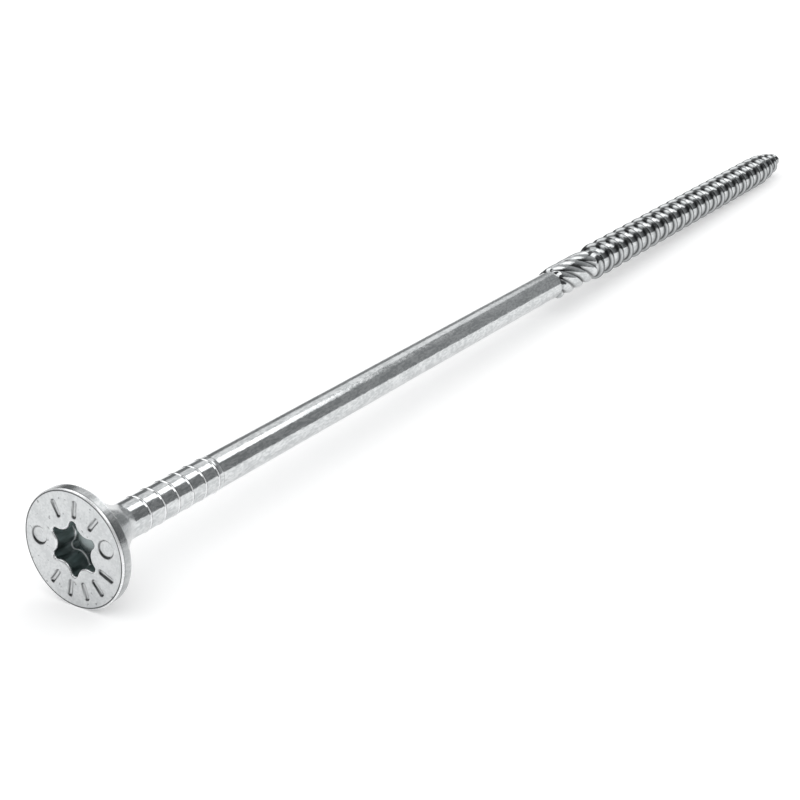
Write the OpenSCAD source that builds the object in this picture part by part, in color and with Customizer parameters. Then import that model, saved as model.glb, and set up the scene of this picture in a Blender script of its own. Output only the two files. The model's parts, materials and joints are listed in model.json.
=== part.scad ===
// Construction screw with a flat countersunk head, a six-lobe drive, ring ridges behind the neck,
// a shank cutter and a coarse wood thread. It lies on its head's rim and on its thread.
// Millimetres, +Z up, the screw's axis along +X with the head at -X.

/* [Overall] */
// length from the head's face to the tip
screw_length = 220; // [210:1:240]
// outside diameter of the thread
thread_d = 6; // [5.8:0.1:6.4]
// diameter of the plain shank
shank_d = 4.5; // [4.4:0.05:4.7]
// diameter of the head
head_d = 14.5; // [13.5:0.1:15.5]

/* [Head] */
// height of the rim, from the face to where the neck begins
rim_height = 1.4; // [1.1:0.05:1.7]
// width of the small bevel around the face
bevel_width = 0.15; // [0.1:0.05:0.25]
// height of the small bevel around the face
bevel_height = 0.27; // [0.2:0.05:0.4]
// distance from the face to where the neck meets the shank
neck_end = 8.1; // [7:0.1:9]
// how hollow the neck is, where 1 is a straight cone
neck_curve = 1.45; // [1.2:0.05:1.8]

/* [Drive] */
// diameter across the lobes of the six-lobe socket
lobe_d = 6.8; // [6.6:0.05:6.9]
// diameter across the waists of the six-lobe socket
waist_d = 4.8; // [4.6:0.05:4.9]
// radius of each lobe's round end
lobe_r = 0.54; // [0.5:0.02:0.6]
// depth of the socket's straight walls
socket_depth = 3; // [2.6:0.1:3.6]
// depth of the shallow cone below the socket's walls
cone_depth = 0.3; // [0.2:0.05:0.6]
// turn of the lobes about the axis, in degrees
socket_turn = 2; // [0:1:30]

/* [Face marks] */
// diameter of the two pressed dimples
dimple_d = 2.3; // [1.8:0.1:2.6]
// depth of the dimples and of the plain pressed bars
press_depth = 0.22; // [0.1:0.02:0.3]
// distance of the dimples and bars from the axis
mark_radius = 5.05; // [4.9:0.05:5.2]
// length of a pressed bar
bar_length = 2.3; // [1.8:0.1:2.4]
// width of a pressed bar
bar_width = 0.7; // [0.4:0.05:0.8]

/* [Ring ridges] */
// number of ridges around the shank behind the neck
ring_count = 6; // [4:1:8]
// distance from the face to the first ridge
ring_start = 10.65; // [10:0.05:12]
// distance from one ridge to the next
ring_gap = 2.53; // [2:0.01:3]
// height of a ridge above the shank
ring_height = 0.07; // [0.04:0.01:0.15]
// width of a ridge at its foot
ring_width = 0.35; // [0.25:0.05:0.6]
// how much thicker the ringed stretch is than the plain shank, on the radius
collar_step = 0.035; // [0.02:0.005:0.08]

/* [Shank cutter] */
// distance from the tip back to where the cutter begins
cutter_from_tip = 105.7; // [100:0.1:112]
// length of the cutter
cutter_length = 12.5; // [11:0.1:15]
// number of ridges around the cutter
cutter_starts = 7; // [5:1:8]
// distance in which one cutter ridge goes once around
cutter_lead = 24.3; // [20:0.1:30]
// diameter over the cutter's ridges
cutter_d = 5.45; // [5.2:0.05:5.7]
// angle about the axis of the side that faced the camera, where one groove is placed
groove_angle = 234.3; // [0:0.1:360]
// distance of that groove from the cutter's beginning, on the same side
groove_place = 3.6; // [2:0.1:6]

/* [Thread] */
// distance from one turn of the thread to the next
thread_pitch = 3.88; // [3.7:0.02:4]
// diameter of the core between the turns
core_d = 4.1; // [3.9:0.05:4.2]
// part of the pitch that the ridge takes up at its foot
ridge_share = 0.22; // [0.18:0.02:0.3]
// length of the pointed end
point_length = 12; // [10:0.5:14]
// part of its full height that the ridge keeps towards the tip
point_rise = 0.85; // [0.5:0.05:1]
// length over which the ridge dies away at the very tip
run_out = 3.5; // [2:0.1:5]
// how far inside the cutter's end the thread begins
thread_inset = 1.45; // [0.8:0.05:2]

/* [Hidden] */

$fn = 96;
head_r = head_d / 2;
shank_r = shank_d / 2;
thread_r = thread_d / 2;
core_r = core_d / 2;
collar_r = shank_r + collar_step;
face_r = head_r - bevel_width;
neck_steps = 10;

// the six-lobe outline: lobe circles and the waist circles that touch them
lobe_at = lobe_d / 2 - lobe_r;
waist_at = waist_d / 2;
waist_rise = lobe_at * lobe_at + waist_at * waist_at - 2 * lobe_at * waist_at * cos(30) - lobe_r * lobe_r;
waist_r = waist_rise / (2 * (lobe_r - waist_at + lobe_at * cos(30)));

cutter_start = screw_length - cutter_from_tip;
cutter_end = cutter_start + cutter_length;
joint_overlap = 0.6;
cutter_groove_r = shank_r + 0.03;
cutter_height = cutter_d / 2 - cutter_groove_r;
cutter_steps = 6;
cutter_columns = cutter_starts * cutter_steps;
cutter_rows = 12;

turn_columns = 28;
row_place = [0, 0.34, 0.5, 0.66, 1];
row_height = [0, 0.95, 1, 0.95, 0];
rows_per_turn = len(row_place);
thread_start = cutter_end - thread_inset;
thread_turns = floor((screw_length - 0.5 - thread_start) / thread_pitch) - 1;
thread_rows = thread_turns * rows_per_turn;
full_until = screw_length - point_length;

// lying pose: the rim's back edge and the last full turn of the thread touch the floor
last_turn = floor((full_until - thread_start) / thread_pitch - ridge_share / 2);
last_crest = thread_start + thread_pitch * (last_turn + ridge_share / 2);
lie_angle = atan((head_r - thread_r) / (last_crest - rim_height));
lie_height = head_r * cos(lie_angle) + rim_height * sin(lie_angle);
lie_middle = (screw_length * cos(lie_angle) - face_r * sin(lie_angle)) / 2;

function neck_point(k) = [
    collar_r + (head_r - collar_r) * pow(1 - k / neck_steps, neck_curve),
    rim_height + (neck_end - rim_height) * k / neck_steps
];

function ring_points(z) = [
    [collar_r, z - ring_width / 2],
    [collar_r + ring_height, z - ring_width / 6],
    [collar_r + ring_height, z + ring_width / 6],
    [collar_r, z + ring_width / 2]
];

function ringed_end() = ring_start + ring_gap * (ring_count - 1) + 0.9;

// outline of the head, neck and shank from the face to inside the cutter
module turned_outline() {
    neck = [for (k = [0 : neck_steps]) neck_point(k)];
    rings = [for (k = [0 : ring_count - 1]) each ring_points(ring_start + ring_gap * k)];
    polygon(concat(
        [[0, 0], [face_r, 0], [head_r - bevel_width * 0.35, bevel_height * 0.3], [head_r, bevel_height]],
        neck,
        rings,
        [[collar_r, ringed_end()], [shank_r, ringed_end() + 0.1]],
        [[shank_r, cutter_start + joint_overlap], [0, cutter_start + joint_overlap]]
    ));
}

module six_lobe_outline() {
    difference() {
        union() {
            circle(r = waist_at + 0.35);
            for (k = [0 : 5]) {
                rotate(60 * k) translate([lobe_at, 0]) circle(r = lobe_r);
            }
            for (k = [0 : 5]) {
                rotate(60 * k) translate([0, -lobe_r * 0.98]) square([lobe_at, lobe_r * 1.96]);
            }
        }
        for (k = [0 : 5]) {
            rotate(60 * k + 30) translate([waist_at + waist_r, 0]) circle(r = waist_r);
        }
    }
}

// the socket: straight six-lobe walls and a shallow cone at the bottom
module socket() {
    rotate([0, 0, 180 + socket_turn]) {
        translate([0, 0, -1]) linear_extrude(height = socket_depth + 1) six_lobe_outline();
        translate([0, 0, socket_depth - 0.01]) cylinder(r1 = waist_at * 0.8, r2 = 0.3, h = cone_depth);
    }
}

// two shallow round dimples and plain bars pressed into the face
module face_marks() {
    for (a = [-85, 74]) {
        rotate([0, 0, 180 + a]) translate([mark_radius, 0, -1]) cylinder(d = dimple_d, h = 1 + press_depth);
    }
    for (a = [-26, 6, 39, 113, 139, 164, 189, 216]) {
        rotate([0, 0, 180 + a]) translate([mark_radius - bar_length / 2, -bar_width / 2, -1]) {
            cube([bar_length, bar_width, 1 + press_depth]);
        }
    }
}

function cutter_z(k) = cutter_start + cutter_length * k / cutter_rows;
function cutter_swell(k) = k == 0 ? 0.2 : k == cutter_rows ? 0.7 : 1;
function cutter_angle(i, k) = groove_angle + 360 * i / cutter_columns
    + 360 * (cutter_z(k) - cutter_start - groove_place) / cutter_lead;
function cutter_radius(i, k) = cutter_groove_r
    + cutter_height * cutter_swell(k) * pow(sin(180 * (i % cutter_steps) / cutter_steps), 0.7);

// the cutter: rounded ridges that twist along the axis
module cutter() {
    points = [for (k = [0 : cutter_rows], i = [0 : cutter_columns - 1])
        let (r = cutter_radius(i, k), a = cutter_angle(i, k))
        [r * cos(a), r * sin(a), cutter_z(k)]];
    sides = [for (k = [0 : cutter_rows - 1], i = [0 : cutter_columns - 1])
        let (n = (i + 1) % cutter_columns, low = k * cutter_columns, high = low + cutter_columns)
        each [[low + i, high + i, high + n], [low + i, high + n, low + n]]];
    bottom = [[for (i = [0 : cutter_columns - 1]) i]];
    top = [[for (i = [cutter_columns - 1 : -1 : 0]) cutter_rows * cutter_columns + i]];
    polyhedron(points = points, faces = concat(sides, bottom, top), convexity = 4);
}

// how far along the pointed end a place is: 1 on the full thread, 0 at the tip
function point_share(z) = min(1, max(0, (screw_length - z) / point_length));
function core_at(z) = core_r * (0.14 + 0.86 * pow(point_share(z), 0.75));
function crest_at(z) = (thread_r - core_r) * (point_rise + (1 - point_rise) * point_share(z))
    * min(1, max(0, (z - cutter_end) / (thread_pitch * 0.4))) * min(1, max(0, (screw_length - z) / run_out));
function thread_z(i, j) = thread_start + thread_pitch
    * (floor(j / rows_per_turn) + ridge_share * row_place[j % rows_per_turn] + i / turn_columns);
function thread_point(i, j) =
    let (z = thread_z(i, j), a = 360 * i / turn_columns,
        r = core_at(z) + crest_at(z) * row_height[j % rows_per_turn])
    [r * cos(a), r * sin(a), z];

// the thread and the point as one closed skin whose rows follow the turns
module thread() {
    last = turn_columns - 1;
    rows = thread_rows;
    skin = [for (i = [0 : last], j = [0 : rows]) thread_point(i, j)];
    foot_z = thread_start - 0.4;
    foot = [for (i = [0 : last])
        [core_r * cos(360 * i / turn_columns), core_r * sin(360 * i / turn_columns), foot_z]];
    foot_at = len(skin);
    tip_at = foot_at + turn_columns;
    step = rows + 1;
    sides = [for (i = [0 : last - 1], j = [0 : rows - 1])
        let (p = i * step + j, q = p + step)
        each [[p, p + 1, q + 1], [p, q + 1, q]]];
    seam = [for (j = [0 : rows - rows_per_turn - 1])
        let (p = last * step + j, q = j + rows_per_turn)
        each [[p, p + 1, q + 1], [p, q + 1, q]]];
    foot_sides = [for (i = [0 : last - 1])
        let (p = i * step, q = p + step)
        each [[foot_at + i, p, q], [foot_at + i, q, foot_at + i + 1]]];
    foot_seam = concat(
        [for (j = [0 : rows_per_turn - 1]) [last * step, j + 1, j]],
        [[foot_at + last, last * step, 0], [foot_at + last, 0, foot_at]]
    );
    tip_seam = [for (j = [rows - rows_per_turn : rows - 1])
        [last * step + j, last * step + j + 1, rows]];
    tip_sides = concat(
        [for (i = [0 : last - 1]) [i * step + rows, tip_at, (i + 1) * step + rows]],
        [[last * step + rows, tip_at, rows]]
    );
    bottom = [[for (i = [0 : last]) foot_at + i]];
    polyhedron(
        points = concat(skin, foot, [[0, 0, screw_length]]),
        faces = concat(sides, seam, foot_sides, foot_seam, tip_seam, tip_sides, bottom),
        convexity = 6
    );
}

module screw() {
    color([0.72, 0.74, 0.76])
    translate([-lie_middle, 0, lie_height])
    rotate([0, 90 + lie_angle, 0])
    union() {
        difference() {
            rotate_extrude() turned_outline();
            socket();
            face_marks();
        }
        cutter();
        thread();
    }
}

screw();
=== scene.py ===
import json
import math

import bmesh
import bpy
from mathutils import Matrix, Vector


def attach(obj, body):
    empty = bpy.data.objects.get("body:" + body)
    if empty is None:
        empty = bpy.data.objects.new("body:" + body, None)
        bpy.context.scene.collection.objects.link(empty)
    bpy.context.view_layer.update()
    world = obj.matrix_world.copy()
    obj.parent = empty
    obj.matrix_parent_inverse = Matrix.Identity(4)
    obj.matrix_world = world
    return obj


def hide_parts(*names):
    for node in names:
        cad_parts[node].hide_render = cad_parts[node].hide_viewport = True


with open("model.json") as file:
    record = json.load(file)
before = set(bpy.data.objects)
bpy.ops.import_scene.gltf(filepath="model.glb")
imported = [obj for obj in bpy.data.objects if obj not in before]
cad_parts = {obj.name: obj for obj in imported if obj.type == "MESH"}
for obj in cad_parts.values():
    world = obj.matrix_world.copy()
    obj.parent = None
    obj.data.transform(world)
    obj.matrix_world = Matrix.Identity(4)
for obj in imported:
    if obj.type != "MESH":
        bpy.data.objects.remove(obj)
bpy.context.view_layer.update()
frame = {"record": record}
mm = 0.001


# camera: where the photograph was taken from, and the lens as its angle of view over a square picture
cameraSpot = {
    "place": (-0.227364, -0.116988, 0.094054),
    "forward": (0.778172, 0.491428, -0.391083),
    "angle": 27.2239,
    "nearest": 0.005,
    "farthest": 20.0,
}


def makeCamera(spot):
    data = bpy.data.cameras.new("photoCamera")
    data.sensor_fit = "HORIZONTAL"
    data.angle = math.radians(spot["angle"])
    data.clip_start = spot["nearest"]
    data.clip_end = spot["farthest"]
    camera = bpy.data.objects.new("photoCamera", data)
    bpy.context.scene.collection.objects.link(camera)
    camera.location = spot["place"]
    camera.rotation_euler = Vector(spot["forward"]).to_track_quat("-Z", "Y").to_euler()
    bpy.context.scene.camera = camera
    print("camera set")


# node helpers, used by the shape trees and the materials alike
def linkInto(tree, socket, value):
    if isinstance(value, bpy.types.NodeSocket):
        tree.links.new(value, socket)
    else:
        socket.default_value = value


def mathNode(tree, operation, *values, clamp=False):
    node = tree.nodes.new("ShaderNodeMath")
    node.operation = operation
    node.use_clamp = clamp
    for socket, value in zip(node.inputs, values):
        linkInto(tree, socket, value)
    return node.outputs[0]


def smoothBetween(tree, value, low, high):
    node = tree.nodes.new("ShaderNodeMapRange")
    node.interpolation_type = "SMOOTHSTEP"
    for name, entry in (("Value", value), ("From Min", low), ("From Max", high)):
        linkInto(tree, node.inputs[name], entry)
    return node.outputs["Result"]


def mixValue(tree, share, first, second):
    gap = mathNode(tree, "SUBTRACT", second, first)
    return mathNode(tree, "MULTIPLY_ADD", gap, share, first)


def mixColor(tree, share, first, second):
    node = tree.nodes.new("ShaderNodeMix")
    node.data_type = "RGBA"
    linkInto(tree, node.inputs["Factor"], share)
    linkInto(tree, node.inputs[6], first)     # 6, 7 and 2 are the colour sockets, which share their names
    linkInto(tree, node.inputs[7], second)
    return node.outputs[2]


# the screw's sizes in millimetres, heights measured from the head's face along the axis
screwSizes = {
    "length": 220.0,
    "headRadius": 7.25,
    "bevelWidth": 0.15,
    "bevelHeight": 0.27,
    "rimHeight": 1.4,
    "neckEnd": 8.1,
    "neckCurve": 1.45,
    "shankRadius": 2.25,
    "collarStep": 0.035,
    "seam": 0.05,           # gap that is sewn between two skins
}

socketSizes = {
    "lobeDiameter": 6.8,
    "waistDiameter": 4.8,
    "lobeRadius": 0.54,
    "turn": 182.0,          # degrees about the axis
    "depth": 3.0,
    "coneDepth": 0.3,
    "coneTop": 0.3,
    "footRounding": 0.2,
    "mouthRounding": 0.3,
    "draft": 0.03,
}

faceMarks = {
    "radius": 5.05,
    "barLength": 2.3,
    "barWidth": 0.7,
    "pressDepth": 0.22,
    "dimpleDiameter": 2.3,
    "edge": 0.22,
    "wallPaintedShade": 0.6,        # power of the painted shade on the marks' walls, darker when lower
    "barAngles": (-26, 6, 39, 113, 139, 164, 189, 216),    # degrees clockwise from the top
    "dimpleAngles": (-85, 74),
}

ringRidges = {"count": 6, "start": 10.65, "gap": 2.53, "height": 0.07, "width": 0.35, "end": 24.2}

shankCutter = {
    "start": 114.3,
    "end": 126.8,
    "ridges": 7,
    "lead": 24.3,
    "radius": 2.725,
    "grooveTurn": 180.97,    # degrees about the axis of one groove where the cutter starts
    "roundness": 0.6,
    "early": 0.2,            # its rows start and end this much before it
    "ramp": 0.8,
    "grooveFade": (0.75, 0.3),    # share of the ridge's rise where the painted shade in the groove begins and is full
    "grooveLeast": 0.1,      # rise below which no painted groove shade shows
}

woodThread = {
    "pitch": 3.88,
    "crest": 125.776,       # height of a crest at no turn about the axis
    "outerRadius": 3.0,
    "coreRadius": 2.05,
    "ridgeShare": 0.34,
    "crestShare": 0.05,
    "runIn": 1.6,
    "runOut": 3.5,
    # from the middle of the hollow to the ridge: pitches from the crest, share of the rise, painted shade
    "hollow": ((0.5, 0, 0), (0.45, 0.03, 0), (0.38, 0.09, 0), (0.30, 0.17, 0.1), (0.23, 0.255, 0.45)),
    # the same up the flank, in pitches from the ridge's foot, then from halfway to the crest
    "flank": ((0, 0.35, 1), (0.03, 0.43, 1), (0.06, 0.57, 0.5)),
    "upperFlank": (0.03, 0.76, 0),
    # the same over the crest, in shares of its half width
    "top": ((1, 0.97, 0.75), (0.4, 1, 1)),
    "low": 127.1,
    "high": 219.7,
    "pointLength": 12.0,
    "pointCore": 0.14,
    "pointRise": 0.85,
    "pointCurve": 0.75,
}

skinDetail = {
    "headColumns": 240,
    "shaftColumns": 80,
    "mergeReach": 1e-6,     # metres
    "ringReach": 2e-6,      # metres
    "turnSlack": 0.01,      # radians, keeps a ring's first point first
    "sharpAngle": 50,       # degrees
}

# what a row of a turned skin can say beside its radius and height
rowFields = (
    "turn", "lobeShare", "lobeOffset", "markShare", "cutterRise", "recess", "satin", "crease", "edge")


def row(radius, height, **fields):
    return dict(radius=radius, height=height, **fields)


def spread(low, high, count):
    return [low + (high - low) * k / count for k in range(count + 1)]


# how finely the head is divided, and the narrow bands along its edges in millimetres
headDetail = {
    "coneShare": 0.4,       # of the socket's waist
    "coneRows": 4,
    "floorRows": 5,
    "footRows": 4,
    "wallRows": 14,
    "mouthRows": 5,
    "faceRows": 58,
    "bevelRows": 6,
    "neckRows": 30,
    "faceMargin": 0.16,     # marks end this far from the face's edge
    "faceBand": 0.11,
    "rimBelowBevel": (0.06, 0.2),
    "rimAboveNeck": (0.15, 0.03),
}

# how dull the head is, and how much painted shade and painted highlight it carries, from 0 to 1
headWear = {
    "socketFloorShade": 0.6,
    "mouthFade": 45,        # degrees of the rounding over which the socket's shade ends
    "mouthHighlight": 0.8,
    "bevelSatin": 0.6,
    "bevelHighlight": 1.8,       # before it is held to the most
    "bevelHighlightMost": 0.95,
    "rimSatin": 0.5,
    "rimPaintedShade": (0.8, 0.35, 0.3, 0),
    "rimHighlights": (0, 0, 0, 0.3),
    "neckSatin": 0.4,
    "neckPaintedShade": 0.45,
}


def headRows(size, socket, detail, wear):
    depth, foot, rounding = socket["depth"], socket["footRounding"], socket["mouthRounding"]
    draft = socket["draft"]
    coneFoot = socket["waistDiameter"] * detail["coneShare"]
    faceRadius = size["headRadius"] - size["bevelWidth"]
    # painted shade inside the socket: full on its cone, foot and walls, part on its floor, fading out over
    # the mouth's rounding
    rows = [row(0, depth + socket["coneDepth"], recess=1)]
    for share in spread(0, 1, detail["coneRows"]):
        radius = socket["coneTop"] + (coneFoot - socket["coneTop"]) * share
        rows.append(row(radius, depth + socket["coneDepth"] * (1 - share), recess=1))
    for share in spread(0, 1, detail["floorRows"])[1:]:
        rows.append(row(coneFoot, depth, lobeShare=share, lobeOffset=-foot, recess=wear["socketFloorShade"]))
    # painted highlight along the socket's foot rounding
    for turn in spread(0, 90, detail["footRows"])[1:]:
        rise = math.radians(turn)
        rows.append(row(
            0, depth - foot * (1 - math.cos(rise)), lobeShare=1, lobeOffset=-foot * (1 - math.sin(rise)),
            recess=1, edge=math.sin(2 * rise)))
    for share in spread(0, 1, detail["wallRows"])[1:]:
        height = depth - foot + (rounding - depth + foot) * share
        rows.append(row(0, height, lobeShare=1, lobeOffset=draft * share, recess=1))
    # painted highlight along the mouth's rounding
    for turn in spread(0, 90, detail["mouthRows"])[1:]:
        rise = math.radians(turn)
        rows.append(row(
            0, rounding * (1 - math.sin(rise)), lobeShare=1,
            lobeOffset=draft + rounding * (1 - math.cos(rise)),
            recess=max(0, 1 - turn / wear["mouthFade"]),
            satin=turn / 90, edge=wear["mouthHighlight"] * math.sin(2 * rise)))
    for share in spread(0, 1, detail["faceRows"])[1:]:
        rows.append(row(
            faceRadius - detail["faceMargin"], 0, lobeShare=1 - share, lobeOffset=draft + rounding,
            markShare=1, satin=1))
    # painted shade: a dark line round the face's edge
    rows.append(row(faceRadius - detail["faceBand"], 0, satin=1, crease=1))
    rows.append(row(faceRadius, 0, satin=1, crease=1))
    # painted highlight along the bevel
    for turn in spread(0, 90, detail["bevelRows"])[1:]:
        rise = math.radians(turn)
        rows.append(row(
            faceRadius + size["bevelWidth"] * math.sin(rise), size["bevelHeight"] * (1 - math.cos(rise)),
            satin=wear["bevelSatin"],
            edge=min(wear["bevelHighlightMost"], wear["bevelHighlight"] * math.sin(2 * rise))))
    rim = [size["bevelHeight"] + gap for gap in detail["rimBelowBevel"]]
    rim += [size["rimHeight"] - gap for gap in detail["rimAboveNeck"]]
    # painted shade on the rim, darkest just below the bevel, and a faint painted highlight at its back edge
    # by the neck
    for height, crease, edge in zip(rim, wear["rimPaintedShade"], wear["rimHighlights"]):
        rows.append(row(size["headRadius"], height, satin=wear["rimSatin"], crease=crease, edge=edge))
    collar = size["shankRadius"] + size["collarStep"]
    # painted shade on the neck, darkest by the rim
    for share in spread(0, 1, detail["neckRows"]):
        rows.append(row(
            collar + (size["headRadius"] - collar) * (1 - share) ** size["neckCurve"],
            size["rimHeight"] + (size["neckEnd"] - size["rimHeight"]) * share,
            satin=wear["neckSatin"], crease=wear["neckPaintedShade"] * (1 - share)))
    return rows


# how finely the shaft is divided; ring gaps are in ring widths, the others in millimetres
shaftDetail = {
    "ringRows": 10,
    "ringLead": 0.7,
    "ringTrail": (0.6, 0.8),
    "stepGaps": (0.1, 0.2),
    "shankRows": 40,
    "shankGaps": (1.0, 0.5),
    "cutterRows": 64,
    "meetRows": 6,
    "pointRows": 5,
}

# how much painted shade and painted highlight the shaft carries, from 0 to 1
shaftWear = {
    "ringHighlight": 0.7,        # power of the painted highlight on the ring crests, wider when lower
    "ringPaintedShade": (0.8, 0),
    "stepPaintedShade": (0.6, 0),
    "cutterPaintedShade": 0.7,
    "cutterPaintedShadeAt": 0.1,  # share of the ramp where the painted shade is darkest
    "cutterPaintedShadeFall": 4,
    "meetPaintedShade": 0.8,
}


# how far the cutter's ridges have twisted at a height
def cutterTurn(cutter, height):
    return math.tau * (height - cutter["start"]) / cutter["lead"]


def shaftRows(size, rings, cutter, thread, detail, wear):
    shank, core = size["shankRadius"], thread["coreRadius"]
    collar = shank + size["collarStep"]
    rows = [row(collar, size["neckEnd"] + size["seam"])]
    for k in range(rings["count"]):
        middle = rings["start"] + rings["gap"] * k
        rows.append(row(collar, middle - rings["width"] * detail["ringLead"]))
        # painted highlight along each ring's crest, and painted shade on its side toward the point
        for turn in spread(-180, 180, detail["ringRows"]):
            lift = 0.5 + 0.5 * math.cos(math.radians(turn))
            rows.append(row(
                collar + rings["height"] * lift, middle + rings["width"] * turn / 360,
                edge=lift ** wear["ringHighlight"], crease=max(0, math.sin(math.radians(turn)))))
        # painted shade just past each ring
        for gap, crease in zip(detail["ringTrail"], wear["ringPaintedShade"]):
            rows.append(row(collar, middle + rings["width"] * gap, crease=crease))
    rows.append(row(collar, rings["end"]))
    # painted shade at the step down to the shank
    for gap, crease in zip(detail["stepGaps"], wear["stepPaintedShade"]):
        rows.append(row(shank, rings["end"] + gap, crease=crease))
    afterRings, beforeCutter = detail["shankGaps"]
    for height in spread(rings["end"] + afterRings, cutter["start"] - beforeCutter, detail["shankRows"]):
        rows.append(row(shank, height))

    # the cutter's ridges rise over a short ramp, then sink to the thread's core; painted shade lies near
    # the ramp's start and along the sinking
    ridge = cutter["radius"] - shank
    low = cutter["end"] - cutter["early"]
    high = thread["low"] - size["seam"]
    for height in spread(cutter["start"] - cutter["early"], low, detail["cutterRows"]):
        ramp = min(1, (height - cutter["start"] + cutter["early"]) / cutter["ramp"])
        dark = max(0, 1 - wear["cutterPaintedShadeFall"] * abs(ramp - wear["cutterPaintedShadeAt"]))
        rows.append(row(
            shank, height, cutterRise=ridge * math.sin(ramp * math.pi / 2),
            crease=wear["cutterPaintedShade"] * dark, turn=cutterTurn(cutter, height)))
    for share in spread(0, 1, detail["meetRows"])[1:]:
        ease = 0.5 - 0.5 * math.cos(math.pi * share)
        rows.append(row(
            shank + (core - shank) * ease, low + (high - low) * share, cutterRise=ridge * (1 - ease),
            crease=wear["meetPaintedShade"] * math.sin(math.pi * share), turn=cutterTurn(cutter, low)))
    return rows


def pointRows(size, thread, radius, count):
    height = thread["high"] + size["seam"]
    rows = []
    for turn in spread(0, 90, count):
        rise = math.radians(turn)
        rows.append(row(radius * math.cos(rise), height + (size["length"] - height) * math.sin(rise)))
    rows[-1]["radius"] = 0
    return rows


# how thick the core is along the point, where share is 1 at its start and 0 at the tip
def coreAt(thread, share):
    tip = thread["pointCore"]
    return thread["coreRadius"] * (tip + (1 - tip) * share ** thread["pointCurve"])


def pointsObject(name, rows, fields):
    mesh = bpy.data.meshes.new(name)
    mesh.from_pydata([(entry["radius"], 0, entry["height"]) for entry in rows], [], [])
    for field in fields:
        layer = mesh.attributes.new(field, "FLOAT", "POINT")
        layer.data.foreach_set("value", [entry.get(field, 0) for entry in rows])
    thing = bpy.data.objects.new(name, mesh)
    bpy.context.scene.collection.objects.link(thing)
    return thing


# a clockwise angle from the top, as a place on the face in the screw's own axes
def facePlace(angle, radius):
    turn = math.radians(180 + angle)
    return (radius * math.cos(turn), radius * math.sin(turn), 0)


def markObjects(marks):
    half = marks["barLength"] / 2 - marks["barWidth"] / 2
    ends = []
    for angle in marks["barAngles"]:
        ends += [facePlace(angle, marks["radius"] - half), facePlace(angle, marks["radius"] + half)]
    bars = bpy.data.meshes.new("pressedBars")
    bars.from_pydata(ends, [(k, k + 1) for k in range(0, len(ends), 2)], [])
    dots = bpy.data.meshes.new("pressedDimples")
    dots.from_pydata([facePlace(angle, marks["radius"]) for angle in marks["dimpleAngles"]], [], [])
    things = []
    for mesh in (bars, dots):
        thing = bpy.data.objects.new(mesh.name, mesh)
        bpy.context.scene.collection.objects.link(thing)
        things.append(thing)
    return things


def newShapeTree(name, entries):
    tree = bpy.data.node_groups.new(name, "GeometryNodeTree")
    tree.interface.new_socket("Geometry", in_out="OUTPUT", socket_type="NodeSocketGeometry")
    tree.interface.new_socket("Geometry", in_out="INPUT", socket_type="NodeSocketGeometry")
    inputs = {}
    for entry, kind in entries:
        socket = tree.interface.new_socket(entry, in_out="INPUT", socket_type="NodeSocket" + kind)
        inputs[entry] = socket.identifier
    return tree, inputs, tree.nodes.new("NodeGroupInput").outputs


# a flat grid whose columns and rows become turns and heights
def unitGrid(tree, columns, rows):
    grid = tree.nodes.new("GeometryNodeMeshGrid")
    grid.inputs["Size X"].default_value = 1
    grid.inputs["Size Y"].default_value = 1
    tree.links.new(columns, grid.inputs["Vertices X"])
    tree.links.new(rows, grid.inputs["Vertices Y"])
    place = tree.nodes.new("ShaderNodeSeparateXYZ")
    tree.links.new(tree.nodes.new("GeometryNodeInputPosition").outputs[0], place.inputs[0])
    across = mathNode(tree, "ADD", place.outputs["X"], 0.5)
    along = mathNode(tree, "ADD", place.outputs["Y"], 0.5)
    return grid.outputs["Mesh"], across, along


def sampleRow(tree, geometry, number, field):
    sample = tree.nodes.new("GeometryNodeSampleIndex")
    if field == "position":
        sample.data_type = "FLOAT_VECTOR"
        value = tree.nodes.new("GeometryNodeInputPosition").outputs[0]
    else:
        sample.data_type = "FLOAT"
        named = tree.nodes.new("GeometryNodeInputNamedAttribute")
        named.data_type = "FLOAT"
        named.inputs["Name"].default_value = field
        value = named.outputs["Attribute"]
    tree.links.new(geometry, sample.inputs["Geometry"])
    tree.links.new(value, sample.inputs["Value"])
    tree.links.new(number, sample.inputs["Index"])
    if field != "position":
        return sample.outputs["Value"]
    split = tree.nodes.new("ShaderNodeSeparateXYZ")
    tree.links.new(sample.outputs["Value"], split.inputs[0])
    return split.outputs["X"], split.outputs["Z"]


def aroundAxis(tree, radius, turn, height):
    spot = tree.nodes.new("ShaderNodeCombineXYZ")
    linkInto(tree, spot.inputs["X"], mathNode(tree, "MULTIPLY", radius, mathNode(tree, "COSINE", turn)))
    linkInto(tree, spot.inputs["Y"], mathNode(tree, "MULTIPLY", radius, mathNode(tree, "SINE", turn)))
    linkInto(tree, spot.inputs["Z"], height)
    return spot.outputs[0]


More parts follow.
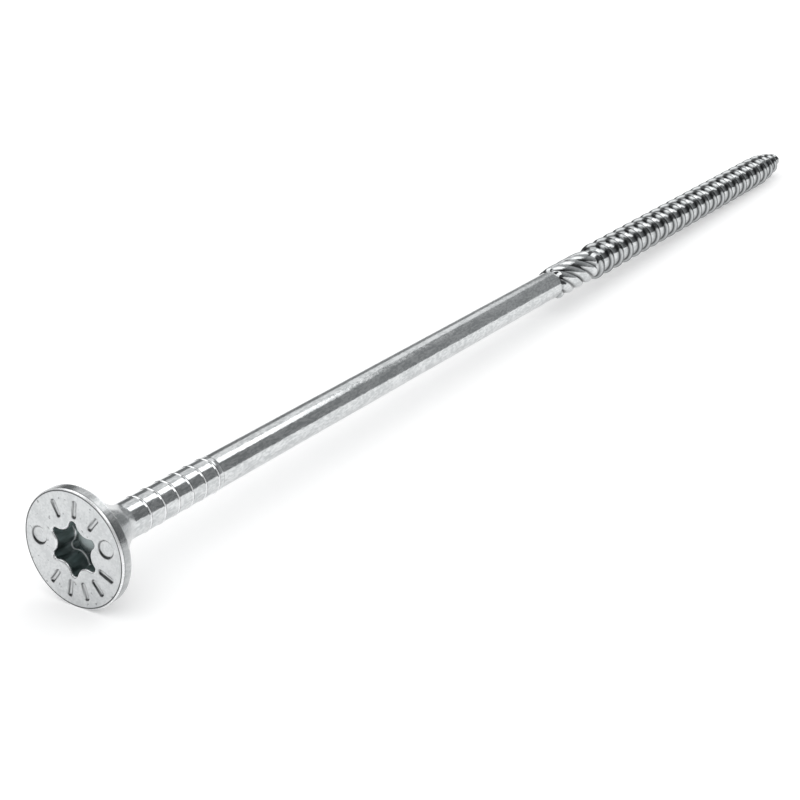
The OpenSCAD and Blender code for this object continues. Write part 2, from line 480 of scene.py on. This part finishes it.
# the finish, painted shade and painted highlight values ride along as attributes, then the skin is moved,
# merged and dressed
def finishSkin(tree, skin, place, values, finish):
    for name, value in values.items():
        store = tree.nodes.new("GeometryNodeStoreNamedAttribute")
        store.data_type = "FLOAT"
        store.domain = "POINT"
        store.inputs["Name"].default_value = name
        tree.links.new(skin, store.inputs["Geometry"])
        linkInto(tree, store.inputs["Value"], value)
        skin = store.outputs["Geometry"]
    scaled = tree.nodes.new("ShaderNodeVectorMath")
    scaled.operation = "SCALE"
    scaled.inputs["Scale"].default_value = mm
    tree.links.new(place, scaled.inputs[0])
    move = tree.nodes.new("GeometryNodeSetPosition")
    tree.links.new(skin, move.inputs["Geometry"])
    tree.links.new(scaled.outputs[0], move.inputs["Position"])
    merge = tree.nodes.new("GeometryNodeMergeByDistance")
    merge.inputs["Distance"].default_value = skinDetail["mergeReach"]
    tree.links.new(move.outputs["Geometry"], merge.inputs["Geometry"])
    realize = tree.nodes.new("GeometryNodeRealizeInstances")
    tree.links.new(merge.outputs["Geometry"], realize.inputs["Geometry"])
    dress = tree.nodes.new("GeometryNodeSetMaterial")
    tree.links.new(realize.outputs["Geometry"], dress.inputs["Geometry"])
    tree.links.new(finish, dress.inputs["Material"])
    tree.links.new(dress.outputs["Geometry"], tree.nodes.new("NodeGroupOutput").inputs[0])


# turned skin: rows of radii spun about the axis, shaped to the socket's lobes, the cutter and the marks
def turnedSkinTree(marks, cutter):
    tree, inputs, given = newShapeTree("turnedSkin", (
        ("Columns", "Int"), ("Rows", "Int"), ("First Turn", "Float"),
        ("Lobe Centre", "Float"), ("Lobe Radius", "Float"),
        ("Waist Centre", "Float"), ("Waist Radius", "Float"),
        ("Lobe Reach", "Float"), ("Socket Turn", "Float"),
        ("Cutter Ridges", "Float"), ("Cutter Roundness", "Float"),
        ("Bar Half Width", "Float"), ("Dimple Radius", "Float"),
        ("Press Edge", "Float"), ("Press Depth", "Float"),
        ("Bars", "Object"), ("Dimples", "Object"), ("Finish", "Material")))
    skin, across, along = unitGrid(tree, mathNode(tree, "ADD", given["Columns"], 1), given["Rows"])
    lastRow = mathNode(tree, "SUBTRACT", given["Rows"], 1)
    number = mathNode(tree, "ROUND", mathNode(tree, "MULTIPLY", along, lastRow))

    def rowValue(field):
        return sampleRow(tree, given["Geometry"], number, field)

    radius, height = rowValue("position")
    spun = mathNode(tree, "MULTIPLY_ADD", across, math.tau, given["First Turn"])
    turn = mathNode(tree, "ADD", spun, rowValue("turn"))

    # six-lobe outline: round lobes, and waists that bulge inwards between them
    sixth = mathNode(tree, "DIVIDE", mathNode(tree, "SUBTRACT", turn, given["Socket Turn"]), math.tau / 6)
    fromLobe = mathNode(tree, "SUBTRACT", sixth, mathNode(tree, "ROUND", sixth))
    lobeTurn = mathNode(tree, "MULTIPLY", mathNode(tree, "ABSOLUTE", fromLobe), math.tau / 6)
    waistTurn = mathNode(tree, "SUBTRACT", math.tau / 12, lobeTurn)

    def circleEdge(centre, size, angle, side):
        aside = mathNode(tree, "MULTIPLY", centre, mathNode(tree, "SINE", angle))
        reach = mathNode(tree, "POWER", size, 2)
        room = mathNode(tree, "SUBTRACT", reach, mathNode(tree, "POWER", aside, 2))
        chord = mathNode(tree, "SQRT", mathNode(tree, "MAXIMUM", room, 0))
        middle = mathNode(tree, "MULTIPLY", centre, mathNode(tree, "COSINE", angle))
        return mathNode(tree, side, middle, chord)

    lobeEdge = circleEdge(given["Lobe Centre"], given["Lobe Radius"], lobeTurn, "ADD")
    waistEdge = circleEdge(given["Waist Centre"], given["Waist Radius"], waistTurn, "SUBTRACT")
    onLobe = mathNode(tree, "LESS_THAN", lobeTurn, given["Lobe Reach"])
    outline = mathNode(tree, "ADD", mixValue(tree, onLobe, waistEdge, lobeEdge), rowValue("lobeOffset"))
    radius = mixValue(tree, rowValue("lobeShare"), radius, outline)

    # cutter: full round ridges with narrow grooves, twisted by the rows' own turn
    cutterRise = rowValue("cutterRise")
    swept = mathNode(tree, "FRACT", mathNode(tree, "MULTIPLY", across, given["Cutter Ridges"]))
    bulge = mathNode(tree, "MAXIMUM", mathNode(tree, "SINE", mathNode(tree, "MULTIPLY", swept, math.pi)), 0)
    bulge = mathNode(tree, "POWER", bulge, given["Cutter Roundness"])
    radius = mathNode(tree, "MULTIPLY_ADD", bulge, cutterRise, radius)
    # painted shade in the narrow grooves between the cutter's ridges
    onCutter = mathNode(tree, "GREATER_THAN", cutterRise, cutter["grooveLeast"])
    grooveShade = mathNode(tree, "MULTIPLY", smoothBetween(tree, bulge, *cutter["grooveFade"]), onCutter)

    # marks: how near the face is to a pressed bar or dimple
    def pressed(name, element, reach):
        info = tree.nodes.new("GeometryNodeObjectInfo")
        tree.links.new(given[name], info.inputs["Object"])
        near = tree.nodes.new("GeometryNodeProximity")
        near.target_element = element
        tree.links.new(info.outputs["Geometry"], near.inputs[0])
        tree.links.new(aroundAxis(tree, radius, turn, 0.0), near.inputs["Sample Position"])
        inner = mathNode(tree, "SUBTRACT", reach, given["Press Edge"])
        return smoothBetween(tree, near.outputs["Distance"], reach, inner)

    bar = pressed("Bars", "EDGES", given["Bar Half Width"])
    dimple = pressed("Dimples", "POINTS", given["Dimple Radius"])
    sunk = mathNode(tree, "MULTIPLY", mathNode(tree, "MAXIMUM", bar, dimple), rowValue("markShare"))
    height = mathNode(tree, "MULTIPLY_ADD", sunk, given["Press Depth"], height)
    # painted shade along the pressed marks' walls
    wallShade = mathNode(tree, "MULTIPLY", sunk, mathNode(tree, "SUBTRACT", 1, sunk))
    wallShade = mathNode(tree, "MULTIPLY", wallShade, 4)      # 1 halfway down a mark's wall
    wallShade = mathNode(tree, "POWER", wallShade, marks["wallPaintedShade"])

    crease = mathNode(tree, "MAXIMUM", mathNode(tree, "MAXIMUM", rowValue("crease"), grooveShade), wallShade)
    values = {
        "recess": rowValue("recess"),
        "satin": rowValue("satin"),
        "crease": crease,
        "edge": rowValue("edge"),
        "ridge": 0.0,
    }
    finishSkin(tree, skin, aroundAxis(tree, radius, turn, height), values, given["Finish"])
    return tree, inputs


# thread skin: one profile wound up the core, cut off level at both ends so that it meets plain rings
def threadSkinTree():
    tree, inputs, given = newShapeTree("threadSkin", (
        ("Columns", "Int"), ("Profile Points", "Int"), ("Turns", "Int"),
        ("Pitch", "Float"), ("Start", "Float"), ("First Turn", "Float"),
        ("Low", "Float"), ("High", "Float"), ("Core Radius", "Float"), ("Full Rise", "Float"),
        ("Length", "Float"), ("Point Length", "Float"), ("Point Core", "Float"),
        ("Point Curve", "Float"), ("Point Rise", "Float"),
        ("Run In", "Float"), ("Run Out", "Float"), ("Finish", "Material")))

    def clampedShare(high, low, length):
        return mathNode(tree, "DIVIDE", mathNode(tree, "SUBTRACT", high, low), length, clamp=True)

    steps = mathNode(tree, "MULTIPLY_ADD", given["Columns"], given["Turns"], 1)
    skin, across, along = unitGrid(tree, given["Profile Points"], steps)
    lastPoint = mathNode(tree, "SUBTRACT", given["Profile Points"], 1)
    number = mathNode(tree, "ROUND", mathNode(tree, "MULTIPLY", across, lastPoint))
    share, lift = sampleRow(tree, given["Geometry"], number, "position")
    wound = mathNode(tree, "MULTIPLY", along, given["Turns"])
    pitches = mathNode(tree, "ADD", wound, share)
    height = mathNode(tree, "MULTIPLY_ADD", pitches, given["Pitch"], given["Start"])
    height = mathNode(tree, "MINIMUM", mathNode(tree, "MAXIMUM", height, given["Low"]), given["High"])
    ahead = clampedShare(given["Length"], height, given["Point Length"])
    slim = mixValue(tree, mathNode(tree, "POWER", ahead, given["Point Curve"]), given["Point Core"], 1.0)
    core = mathNode(tree, "MULTIPLY", slim, given["Core Radius"])
    begun = clampedShare(height, given["Low"], given["Run In"])
    left = clampedShare(given["High"], height, given["Run Out"])
    fade = mathNode(tree, "MULTIPLY", begun, left)
    rise = mathNode(tree, "MULTIPLY", mixValue(tree, ahead, given["Point Rise"], 1.0), given["Full Rise"])
    radius = mathNode(tree, "MULTIPLY_ADD", mathNode(tree, "MULTIPLY", rise, fade), lift, core)
    turn = mathNode(tree, "MULTIPLY_ADD", wound, math.tau, given["First Turn"])
    # painted shade along the thread's hollows, ridge feet and crests, faded where the thread runs in and
    # out
    values = {
        "recess": 0.0,
        "satin": 0.0,
        "crease": mathNode(tree, "MULTIPLY", sampleRow(tree, given["Geometry"], number, "crease"), fade),
        "edge": 0.0,
        "ridge": mathNode(tree, "MULTIPLY", lift, fade),
    }
    finishSkin(tree, skin, aroundAxis(tree, radius, turn, height), values, given["Finish"])
    return tree, inputs


# one pitch of the thread: hollow, sloped flank, narrow crest, and the same back down
def threadProfile(thread):
    foot, crest = thread["ridgeShare"] / 2, thread["crestShare"] / 2
    inward, upperLift, upperCrease = thread["upperFlank"]
    half = list(thread["hollow"])
    half += [(foot - place, lift, crease) for place, lift, crease in thread["flank"]]
    half.append(((foot + crest) / 2 - inward, upperLift, upperCrease))
    half += [(crest * share, lift, crease) for share, lift, crease in thread["top"]]
    points = [(0.5 - place, lift, crease) for place, lift, crease in half]
    points += [(0.5 + place, lift, crease) for place, lift, crease in reversed(half)]
    return [row(place, lift, crease=crease) for place, lift, crease in points]


def skinMesh(source, tree, inputs, settings):
    modifier = source.modifiers.new(tree.name, "NODES")
    modifier.node_group = tree
    for key, value in settings.items():
        modifier[inputs[key]] = value
    graph = bpy.context.evaluated_depsgraph_get()
    mesh = bpy.data.meshes.new_from_object(source.evaluated_get(graph))
    source.modifiers.remove(modifier)
    bpy.data.objects.remove(source)
    return mesh


# the open ring at a height, in order around the axis from a given turn
def ringAt(shape, height, firstTurn):
    reach, slack = skinDetail["ringReach"], skinDetail["turnSlack"]
    ring = [v for v in shape.verts if v.is_boundary and abs(v.co.z - height * mm) < reach]
    return sorted(ring, key=lambda v: (math.atan2(v.co.y, v.co.x) - firstTurn + slack) % math.tau)


def sewRings(shape, fine, coarse):
    each = len(fine) // len(coarse)
    for k, corner in enumerate(coarse):
        following = coarse[(k + 1) % len(coarse)]
        part = [fine[(k * each + j) % len(fine)] for j in range(each + 1)]
        for j in range(each - 1):
            shape.faces.new((corner, part[j], part[j + 1]))
        shape.faces.new((corner, part[each - 1], following))
        shape.faces.new((following, part[each - 1], part[each]))


def turnedSettings(socket, marks, cutter, bars, dimples, finish):
    lobeCentre = socket["lobeDiameter"] / 2 - socket["lobeRadius"]
    waist = socket["waistDiameter"] / 2
    slant = math.cos(math.tau / 12)
    rise = lobeCentre ** 2 + waist ** 2 - 2 * lobeCentre * waist * slant - socket["lobeRadius"] ** 2
    waistRadius = rise / (2 * (socket["lobeRadius"] - waist + lobeCentre * slant))
    waistCentre = waist + waistRadius
    share = socket["lobeRadius"] / (socket["lobeRadius"] + waistRadius)
    touchOut = lobeCentre + (waistCentre * slant - lobeCentre) * share
    touchAside = waistCentre * math.sin(math.tau / 12) * share
    return {
        "First Turn": math.radians(cutter["grooveTurn"]),
        "Lobe Centre": lobeCentre,
        "Lobe Radius": socket["lobeRadius"],
        "Waist Centre": waistCentre,
        "Waist Radius": waistRadius,
        "Lobe Reach": math.atan2(touchAside, touchOut),
        "Socket Turn": math.radians(socket["turn"]),
        "Cutter Ridges": float(cutter["ridges"]),
        "Cutter Roundness": cutter["roundness"],
        "Bar Half Width": marks["barWidth"] / 2,
        "Dimple Radius": marks["dimpleDiameter"] / 2,
        "Press Edge": marks["edge"],
        "Press Depth": marks["pressDepth"],
        "Bars": bars,
        "Dimples": dimples,
        "Finish": finish,
    }


def threadSettings(size, thread, firstTurn, columns, points, finish):
    start = thread["crest"] + thread["pitch"] * (firstTurn / math.tau - 0.5)
    start -= thread["pitch"] * math.ceil((start + thread["pitch"] - thread["low"]) / thread["pitch"])
    turns = math.ceil((thread["high"] - start) / thread["pitch"])
    return {
        "Columns": columns,
        "Profile Points": points,
        "Turns": turns,
        "Pitch": thread["pitch"],
        "Start": start,
        "First Turn": firstTurn,
        "Low": thread["low"],
        "High": thread["high"],
        "Core Radius": thread["coreRadius"],
        "Full Rise": thread["outerRadius"] - thread["coreRadius"],
        "Length": size["length"],
        "Point Length": thread["pointLength"],
        "Point Core": thread["pointCore"],
        "Point Curve": thread["pointCurve"],
        "Point Rise": thread["pointRise"],
        "Run In": thread["runIn"],
        "Run Out": thread["runOut"],
        "Finish": finish,
    }


def makeScrew(finish):
    size, cutter, thread = screwSizes, shankCutter, woodThread
    columns = skinDetail["shaftColumns"]
    bars, dimples = markObjects(faceMarks)
    turnedTree, turnedInputs = turnedSkinTree(faceMarks, cutter)
    settings = turnedSettings(socketSizes, faceMarks, cutter, bars, dimples, finish)

    def turnedMesh(name, rows, count, **changes):
        source = pointsObject(name, rows, rowFields)
        chosen = dict(settings, Columns=count, Rows=len(rows), **changes)
        return skinMesh(source, turnedTree, turnedInputs, chosen)

    firstTurn = settings["First Turn"]
    endTurn = firstTurn + cutterTurn(cutter, cutter["end"] - cutter["early"])
    endRadius = coreAt(thread, (size["length"] - thread["high"]) / thread["pointLength"])
    profile = threadProfile(thread)
    threadTree, threadInputs = threadSkinTree()
    head = headRows(size, socketSizes, headDetail, headWear)
    shaft = shaftRows(size, ringRidges, cutter, thread, shaftDetail, shaftWear)
    point = pointRows(size, thread, endRadius, shaftDetail["pointRows"])
    skins = [
        turnedMesh("head", head, skinDetail["headColumns"]),
        turnedMesh("shaft", shaft, columns),
        skinMesh(
            pointsObject("threadProfile", profile, ("crease",)), threadTree, threadInputs,
            threadSettings(size, thread, endTurn, columns, len(profile), finish)),
        turnedMesh("point", point, columns, **{"First Turn": endTurn}),
    ]
    for helper in (bars, dimples):
        bpy.data.objects.remove(helper)

    shape = bmesh.new()
    for mesh in skins:
        shape.from_mesh(mesh)
    seams = [
        (size["neckEnd"], size["neckEnd"] + size["seam"], firstTurn),
        (thread["low"] - size["seam"], thread["low"], endTurn),
        (thread["high"], thread["high"] + size["seam"], endTurn)]
    rings = [(ringAt(shape, low, turn), ringAt(shape, high, turn)) for low, high, turn in seams]
    for lower, upper in rings:
        sewRings(shape, lower, upper)
    bmesh.ops.recalc_face_normals(shape, faces=shape.faces)
    openEdges = sum(1 for edge in shape.edges if not edge.is_manifold)
    triangles = sum(len(face.verts) - 2 for face in shape.faces)
    mesh = bpy.data.meshes.new("screwSkin")
    shape.to_mesh(mesh)
    shape.free()
    mesh.materials.clear()
    mesh.materials.append(finish)
    mesh.shade_smooth()
    mesh.set_sharp_from_angle(angle=math.radians(skinDetail["sharpAngle"]))

    # the drive mount sits at the middle of the face and points out of it
    mount = next(m for m in frame["record"]["mounts"] if m["name"] == "drive_socket")
    axis = -Vector(mount["axis"]).normalized()
    side = Vector((0, 1, 0))
    place = Matrix((side.cross(axis), side, axis)).transposed().to_4x4()
    place.translation = Vector(mount["pos_m"])
    mesh.transform(place)
    screw = bpy.data.objects.new("screwSkin", mesh)
    bpy.context.scene.collection.objects.link(screw)
    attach(screw, "root")
    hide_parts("screw")
    print("screw made:", triangles, "triangles,", openEdges, "open edges")
    print("rings sewn:", [(len(lower), len(upper)) for lower, upper in rings])


# zinc plate: bright metal with fine spangle, satin on the face, painted shade in creases and inside the
# socket, painted highlights along edges
zincLook = {
    "bright": (0.705, 0.718, 0.723, 1),
    "dull": (0.52, 0.536, 0.542, 1),
    # painted shade inside the socket
    "recess": (0.36, 0.41, 0.41, 1),
    # painted shade for creases, grooves, the marks' walls and the thread's hollows; the head's pits darken
    # toward it as well
    "crease": (0.05, 0.053, 0.055, 1),
    # painted highlight along edges
    "edge": (0.93, 0.94, 0.95, 1),
    "ridge": (0.53, 0.546, 0.552, 1),
    "shankRoughness": 0.14,
    "faceRoughness": 0.34,
    "recessRoughness": 0.30,
    "ridgeRoughness": 0.22,
    "grainRoughness": 0.14,
    "edgeMatte": 0.6,
    "grainStretch": (0.35, 1, 1),    # grain drawn out along the screw
    "grainShine": (0.38, 0.62),      # grain where the plate is dull and where it is bright
    "faceShine": 0.6,
    "faceCalm": 0.45,
    "ridgeTint": 0.7,
    "mottleScale": 900.0,
    "mottleDetail": 4,
    "spangleScale": 3600.0,
    "spangleDetail": 2,
    "spangleShare": 0.5,
    "mottleShare": 0.5,
    "grainMiddle": 0.5,
    "pitScale": 1500.0,
    "pitDetail": 3,
    "pitRange": (0.66, 0.72),
    "pitDark": 0.6,
    "darkest": 0.92,
    "bumpStrength": 0.28,
    "bumpDistance": 0.00005,
}


def zincMaterial(look):
    material = bpy.data.materials.new("zincPlate")
    material.use_nodes = True
    tree = material.node_tree
    shader = tree.nodes["Principled BSDF"]
    stretch = tree.nodes.new("ShaderNodeMapping")
    stretch.inputs["Scale"].default_value = look["grainStretch"]
    tree.links.new(tree.nodes.new("ShaderNodeTexCoord").outputs["Object"], stretch.inputs["Vector"])
    coords = stretch.outputs["Vector"]

    def noise(scale, detail):
        node = tree.nodes.new("ShaderNodeTexNoise")
        node.inputs["Scale"].default_value = scale
        node.inputs["Detail"].default_value = detail
        tree.links.new(coords, node.inputs["Vector"])
        return node.outputs["Fac"]

    def field(name):
        node = tree.nodes.new("ShaderNodeAttribute")
        node.attribute_name = name
        return node.outputs["Fac"]

    def tint(share, first, second):
        return mixColor(tree, share, first, second)

    recess, satin, crease = field("recess"), field("satin"), field("crease")
    edge, ridge = field("edge"), field("ridge")
    mottle = noise(look["mottleScale"], look["mottleDetail"])
    spangle = noise(look["spangleScale"], look["spangleDetail"])
    mottled = mathNode(tree, "MULTIPLY", mottle, look["mottleShare"])
    grain = mathNode(tree, "MULTIPLY_ADD", spangle, look["spangleShare"], mottled)
    calm = mathNode(tree, "MULTIPLY", satin, look["faceCalm"])
    shine = mixValue(tree, calm, smoothBetween(tree, grain, *look["grainShine"]), look["faceShine"])
    plate = tint(shine, look["dull"], look["bright"])
    plate = tint(mathNode(tree, "MULTIPLY", ridge, look["ridgeTint"]), plate, look["ridge"])
    # painted shade inside the socket
    plate = tint(recess, plate, look["recess"])
    # small pits and scuffs, kept to the satin head
    pits = smoothBetween(tree, noise(look["pitScale"], look["pitDetail"]), *look["pitRange"])
    pits = mathNode(tree, "MULTIPLY", pits, mathNode(tree, "MULTIPLY", satin, look["pitDark"]))
    # the painted shade share and the pits both darken the plate toward the same dark colour
    dark = mathNode(tree, "MAXIMUM", crease, pits)
    plate = tint(mathNode(tree, "MULTIPLY", dark, look["darkest"]), plate, look["crease"])
    # painted highlight along edges: a pale colour, with less metal so that it shows as a bright line
    plate = tint(edge, plate, look["edge"])
    tree.links.new(plate, shader.inputs["Base Color"])
    metal = mathNode(tree, "MULTIPLY_ADD", edge, -look["edgeMatte"], 1.0)
    tree.links.new(metal, shader.inputs["Metallic"])
    rough = mixValue(tree, satin, look["shankRoughness"], look["faceRoughness"])
    rough = mixValue(tree, ridge, rough, look["ridgeRoughness"])
    rough = mixValue(tree, recess, rough, look["recessRoughness"])
    fromMiddle = mathNode(tree, "SUBTRACT", grain, look["grainMiddle"])
    uneven = mathNode(tree, "MULTIPLY", fromMiddle, look["grainRoughness"])
    tree.links.new(mathNode(tree, "ADD", rough, uneven), shader.inputs["Roughness"])
    bump = tree.nodes.new("ShaderNodeBump")
    bump.inputs["Strength"].default_value = look["bumpStrength"]
    bump.inputs["Distance"].default_value = look["bumpDistance"]
    tree.links.new(grain, bump.inputs["Height"])
    tree.links.new(bump.outputs["Normal"], shader.inputs["Normal"])
    return material


# studio: a pale floor lit by a broad ceiling that the metal doesn't mirror, boxes that only the metal
# mirrors, and a room that is light only at its far end
studio = {
    "floorSize": 12.0,
    "floorColor": (0.8, 0.8, 0.801, 1),
    "floorRoughness": 0.9,
    "floorShine": 0.0,
    "glowColor": (1.0, 1.0, 1.0, 1),
    "floorGlow": 0.3,
    "roomDark": (0.075, 0.078, 0.08, 1),
    "roomLight": (0.40, 0.41, 0.415, 1),
    "roomTurn": (0.4, 1.0),     # how far along +X a direction points where the room is dark and light
    "boxes": {
        "ceiling": {
            "place": (0, 0, 2.6), "tilt": 0, "size": (9, 9),
            "radiance": 1.2, "mirrored": False},
        "overhead": {
            "place": (1.825, -0.23, 2.0), "tilt": 0, "size": (1.25, 1.15),
            "radiance": 1.8, "mirrored": True},
        "side": {
            "place": (0.1, -1.3, 2.0), "tilt": 0, "size": (3.2, 1.5),
            "radiance": 1.8, "mirrored": True},
        "behind": {
            "place": (2.93, 1.27, 2.03), "tilt": -32, "size": (2.14, 1.74),
            "radiance": 0.7, "mirrored": True},
        "rear": {
            "place": (0.15, 1.27, 2.03), "tilt": -32, "size": (3.3, 1.74),
            "radiance": 1.5, "mirrored": True},
    },
}


def floorMaterial(look):
    material = bpy.data.materials.new("paleFloor")
    material.use_nodes = True
    shader = material.node_tree.nodes["Principled BSDF"]
    shader.inputs["Base Color"].default_value = look["floorColor"]
    shader.inputs["Roughness"].default_value = look["floorRoughness"]
    shader.inputs["Specular IOR Level"].default_value = look["floorShine"]
    shader.inputs["Emission Color"].default_value = look["glowColor"]
    shader.inputs["Emission Strength"].default_value = look["floorGlow"]
    return material


def makeRoom(look):
    world = bpy.data.worlds.new("studioRoom")
    world.use_nodes = True
    tree = world.node_tree
    way = tree.nodes.new("ShaderNodeSeparateXYZ")
    tree.links.new(tree.nodes.new("ShaderNodeTexCoord").outputs["Generated"], way.inputs[0])
    share = smoothBetween(tree, way.outputs["X"], *look["roomTurn"])
    shade = mixColor(tree, share, look["roomDark"], look["roomLight"])
    tree.links.new(shade, tree.nodes["Background"].inputs["Color"])
    bpy.context.scene.world = world


def makeStudio(look):
    half = look["floorSize"] / 2
    mesh = bpy.data.meshes.new("studioFloor")
    corners = [(-half, -half, 0), (half, -half, 0), (half, half, 0), (-half, half, 0)]
    mesh.from_pydata(corners, [], [(0, 1, 2, 3)])
    mesh.materials.append(floorMaterial(look))
    floor = bpy.data.objects.new("studioFloor", mesh)
    bpy.context.scene.collection.objects.link(floor)
    for name, box in look["boxes"].items():
        data = bpy.data.lights.new(name, "AREA")
        data.shape = "RECTANGLE"
        data.size, data.size_y = box["size"]
        data.energy = box["radiance"] * math.pi * data.size * data.size_y
        light = bpy.data.objects.new(name, data)
        bpy.context.scene.collection.objects.link(light)
        light.location = box["place"]
        light.rotation_euler = (math.radians(box["tilt"]), 0, 0)
        light.visible_glossy = box["mirrored"]
        light.visible_diffuse = not box["mirrored"]
    makeRoom(look)
    bpy.context.scene.view_settings.view_transform = "Standard"
    print("studio lit")


makeCamera(cameraSpot)
zinc = zincMaterial(zincLook)
makeScrew(zinc)
makeStudio(studio)
